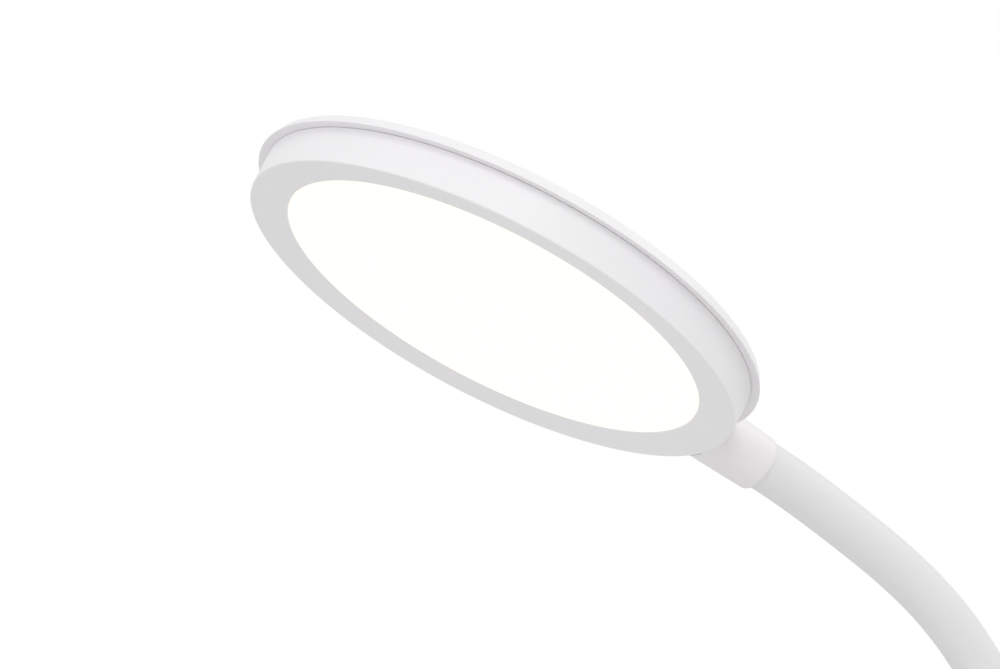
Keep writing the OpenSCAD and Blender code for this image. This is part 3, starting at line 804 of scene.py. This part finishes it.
def addBump(tree, shader, height, strength, distance):
    bump = addNode(tree, "ShaderNodeBump")
    setInputs(bump, Strength=strength, Distance=distance)
    tree.links.new(height, bump.inputs["Height"])
    tree.links.new(bump.outputs["Normal"], shader.inputs["Normal"])


# Moulded plastic or rubber: tint drift, mould grain and patches of handling
def mouldedFinish(name, tint, other, rough, grain=0.0006, depth=0.02, drift=18.0, coat=0.0, ior=1.48):
    material, tree, shader, place = startMaterial(name)
    colour = addGroup(tree, tintDrift, place, Scale=drift, Tint=tint + (1,), Other=other + (1,))
    gloss = addGroup(tree, handling, place, Low=rough[0], High=rough[1])
    texture = addGroup(tree, mouldGrain, place, Size=grain)
    tree.links.new(colour.outputs["Color"], shader.inputs["Base Color"])
    tree.links.new(gloss.outputs["Roughness"], shader.inputs["Roughness"])
    setInputs(shader, IOR=ior, Coat_Weight=coat)
    addBump(tree, shader, texture.outputs["Height"], 0.35, depth * mm)
    return material


# Plated, pressed or drawn metal: lines from rolling, and dull patches
def metalFinish(name, tint, other, rough, fineness=900.0, depth=0.01):
    material, tree, shader, place = startMaterial(name)
    colour = addGroup(tree, tintDrift, place, Scale=60.0, Tint=tint + (1,), Other=other + (1,))
    gloss = addGroup(tree, handling, place, Scale=80.0, Low=rough[0], High=rough[1])
    lines = addGroup(tree, drawnLines, place, Fineness=fineness)
    tree.links.new(colour.outputs["Color"], shader.inputs["Base Color"])
    tree.links.new(gloss.outputs["Roughness"], shader.inputs["Roughness"])
    setInputs(shader, Metallic=1.0)
    addBump(tree, shader, lines.outputs["Height"], 0.4, depth * mm)
    return material


# Opal lens lit from inside, warmer in a thin fringe where it meets the bezel
def lensFinish():
    material, tree, shader, place = startMaterial("litOpal")
    local = addNode(tree, "ShaderNodeMapping", vector_type="TEXTURE")
    local.inputs["Location"].default_value = headFrame.translation
    local.inputs["Rotation"].default_value = headFrame.to_euler()
    flat = addNode(tree, "ShaderNodeVectorMath", operation="MULTIPLY")
    flat.inputs[1].default_value = (1, 1, 0)
    radius = addNode(tree, "ShaderNodeVectorMath", operation="LENGTH")
    rim = addNode(tree, "ShaderNodeMapRange", interpolation_type="SMOOTHSTEP")
    setInputs(rim, From_Min=headShape["window"] - lensShape["fringe"], From_Max=headShape["window"])
    glow = addNode(tree, "ShaderNodeMix", data_type="RGBA")
    setInputs(glow, A=lensShape["glow"] + (1,), B=lensShape["rimGlow"] + (1,))
    dots = addGroup(tree, mouldGrain, place, Size=0.0009)
    link = tree.links.new
    link(place.outputs["Object"], local.inputs["Vector"])
    link(local.outputs["Vector"], flat.inputs[0])
    link(flat.outputs["Vector"], radius.inputs[0])
    link(radius.outputs["Value"], rim.inputs["Value"])
    link(rim.outputs["Result"], glow.inputs["Factor"])
    link(glow.outputs["Result"], shader.inputs["Emission Color"])
    setInputs(shader, Base_Color=lensShape["opal"] + (1,), Emission_Strength=lensShape["strength"],
              Roughness=0.5)
    addBump(tree, shader, dots.outputs["Height"], 0.2, 0.02 * mm)
    return material


def setFinish(piece, material):
    if not piece.material_slots:
        piece.data.materials.append(material)
    for slot in piece.material_slots:
        slot.material = material


# Making it all

print("making the head")
headShell = makeHeadShell()
headCover = makeHeadCover()
lens = makeLens()
neckCollar = makeCollar()
print("making the neck")
sleeveTubes = makeSleeve()
cableTubes = makeCable()
print("making the base")
baseShell = makeBaseShell()
buttonCap = makeButton()
neckBoss = makeBoss()
footPad = makePad()

print("making the finishes")
shellWhite = mouldedFinish("shellWhite", (0.87, 0.853, 0.872), (0.86, 0.85, 0.862), (0.42, 0.50))
coverWhite = mouldedFinish("coverWhite", (0.86, 0.845, 0.86), (0.85, 0.835, 0.85), (0.42, 0.50))
collarWhite = mouldedFinish("collarWhite", (0.84, 0.815, 0.825), (0.83, 0.81, 0.815), (0.42, 0.50))
baseWhite = mouldedFinish("baseWhite", (0.86, 0.85, 0.86), (0.85, 0.845, 0.85), (0.30, 0.40))
buttonWhite = mouldedFinish("buttonWhite", (0.83, 0.82, 0.83), (0.82, 0.81, 0.82), (0.25, 0.34))
silicone = mouldedFinish("silicone", (0.79, 0.785, 0.79), (0.775, 0.77, 0.775), (0.50, 0.60),
                         grain=0.0004, depth=0.015, drift=30.0, ior=1.41)
cableJacket = mouldedFinish("cableJacket", (0.62, 0.62, 0.62), (0.58, 0.58, 0.58), (0.5, 0.6))
padRubber = mouldedFinish("padRubber", (0.035, 0.035, 0.037), (0.05, 0.05, 0.052), (0.7, 0.85),
                          grain=0.0008, depth=0.06)
clearGuide = mouldedFinish("clearGuide", (0.80, 0.84, 0.86), (0.78, 0.83, 0.85), (0.12, 0.2))
whiteFilm = mouldedFinish("whiteFilm", (0.84, 0.84, 0.84), (0.82, 0.82, 0.82), (0.45, 0.55))
phosphor = mouldedFinish("phosphor", (0.80, 0.62, 0.12), (0.74, 0.56, 0.10), (0.4, 0.5))
redLead = mouldedFinish("redLead", (0.45, 0.02, 0.015), (0.40, 0.015, 0.012), (0.4, 0.5))
nylon = mouldedFinish("nylon", (0.74, 0.70, 0.58), (0.70, 0.66, 0.54), (0.4, 0.5))
boardMask = mouldedFinish("boardMask", (0.01, 0.09, 0.04), (0.015, 0.11, 0.05), (0.25, 0.35), grain=0.0012)
blackMould = mouldedFinish("blackMould", (0.012, 0.012, 0.013), (0.02, 0.02, 0.021), (0.4, 0.55))
redAcetal = mouldedFinish("redAcetal", (0.42, 0.02, 0.012), (0.38, 0.015, 0.01), (0.3, 0.4))
zincSteel = metalFinish("zincSteel", (0.56, 0.57, 0.59), (0.50, 0.51, 0.53), (0.30, 0.42))
pressedAluminium = metalFinish("pressedAluminium", (0.72, 0.73, 0.75), (0.68, 0.69, 0.71), (0.32, 0.45))
darkSteel = metalFinish("darkSteel", (0.10, 0.10, 0.105), (0.07, 0.07, 0.075), (0.45, 0.6))
nickelPin = metalFinish("nickelPin", (0.66, 0.64, 0.60), (0.60, 0.58, 0.55), (0.18, 0.28))
platePaint = mouldedFinish("platePaint", (0.52, 0.52, 0.53), (0.48, 0.48, 0.49), (0.45, 0.55), grain=0.0009)
litOpal = lensFinish()

for piece, material in [
    (headShell, shellWhite), (headCover, coverWhite), (lens, litOpal), (neckCollar, collarWhite),
    (baseShell, baseWhite), (buttonCap, buttonWhite), (neckBoss, baseWhite), (footPad, padRubber),
]:
    setFinish(piece, material)
for tube in sleeveTubes:
    setFinish(tube, silicone)
for tube in cableTubes:
    setFinish(tube, cableJacket)

nodeFinishes = {
    "light_guide": clearGuide, "reflector_sheet": whiteFilm, "led_strip": whiteFilm, "leds": phosphor,
    "heat_spreader": pressedAluminium, "spreader_screws": darkSteel, "socket_screws": darkSteel,
    "upper_ferrule": zincSteel, "head_connector": nylon, "strip_leads": redLead,
    "base_plate": platePaint, "ballast_plate": darkSteel, "lower_ferrule": zincSteel,
    "lock_washer": zincSteel, "ferrule_nut": zincSteel, "base_screws": zincSteel,
    "driver_board": boardMask, "driver_chip": blackMould, "inductor": blackMould,
    "capacitors": pressedAluminium, "board_connector": nylon, "board_screws": zincSteel,
    "power_inlet": blackMould, "inlet_pin": nickelPin, "inlet_leads": redLead,
    "switch_body": blackMould, "switch_plunger": redAcetal,
}
for name, node in frame["nodes"].items():
    if not node.hide_render:
        setFinish(node, nodeFinishes.get(name, zincSteel))

# Camera, floor and light

camera = {
    "lens": 90,                                 # mm on a 36 mm sensor
    "awayFromHead": (593.8, -263.0, -96.5),     # from the middle of the bezel's face, in mm
    "turn": (98.05, 0.09, 65.84),               # degrees
}


def makeCamera():
    deselectAll()
    place = headFrame.translation + Vector(camera["awayFromHead"]) * mm
    bpy.ops.object.camera_add(location=place, rotation=[math.radians(a) for a in camera["turn"]])
    view = bpy.context.object
    view.data.lens = camera["lens"]
    view.data.sensor_width = 36
    view.data.clip_start = 0.01
    bpy.context.scene.camera = view


floorTints = [(0.80, 0.80, 0.80, 1), (0.81, 0.81, 0.81, 1)]


def makeFloor():
    deselectAll()
    bpy.ops.mesh.primitive_plane_add(size=6, location=(0, 0, 0))
    floor = bpy.context.object
    floor.name = "floor"
    material, tree, shader, place = startMaterial("paleFloor")
    colour = addGroup(tree, tintDrift, place, Scale=2.0, Tint=floorTints[0], Other=floorTints[1])
    tree.links.new(colour.outputs["Color"], shader.inputs["Base Color"])
    setInputs(shader, Roughness=0.7)
    setFinish(floor, material)


lights = [
    # name, place, size, power: each looks at the lamp's middle
    ("keyLight", (0.97, -0.25, 1.04), 0.5, 2.95),
    ("fillLight", (0.30, -1.13, 0.67), 0.8, 1.2),
    ("rimLight", (0.3, 1.3, 1.3), 0.8, 2.9),
]
lampMiddle = Vector((0, -0.05, 0.25))
worldLight = 0.785


def makeLights():
    for name, place, size, power in lights:
        deselectAll()
        aim = (lampMiddle - Vector(place)).to_track_quat("-Z", "Y").to_euler()
        bpy.ops.object.light_add(type="AREA", location=place, rotation=aim)
        light = bpy.context.object
        light.name = name
        light.data.size = size
        light.data.energy = power


# White to the camera and in reflections, a plain grey light on the object
def makeWorld():
    world = bpy.data.worlds.new("studio")
    world.use_nodes = True
    bpy.context.scene.world = world
    tree = world.node_tree
    shader = tree.nodes["Background"]
    path = addNode(tree, "ShaderNodeLightPath")
    seen = addNode(tree, "ShaderNodeMath", operation="MAXIMUM")
    both = addNode(tree, "ShaderNodeMath", operation="MAXIMUM")
    strength = addNode(tree, "ShaderNodeMapRange")
    setInputs(strength, To_Min=worldLight, To_Max=1.0)
    link = tree.links.new
    link(path.outputs["Is Camera Ray"], seen.inputs[0])
    link(path.outputs["Is Glossy Ray"], seen.inputs[1])
    link(seen.outputs[0], both.inputs[0])
    link(path.outputs["Is Transmission Ray"], both.inputs[1])
    link(both.outputs[0], strength.inputs["Value"])
    link(strength.outputs["Result"], shader.inputs["Strength"])
    shader.inputs["Color"].default_value = (1, 1, 1, 1)


print("setting the camera, floor and light")
makeCamera()
makeFloor()
makeLights()
makeWorld()
bpy.context.scene.view_settings.view_transform = "Standard"
deselectAll()

print("finishing")
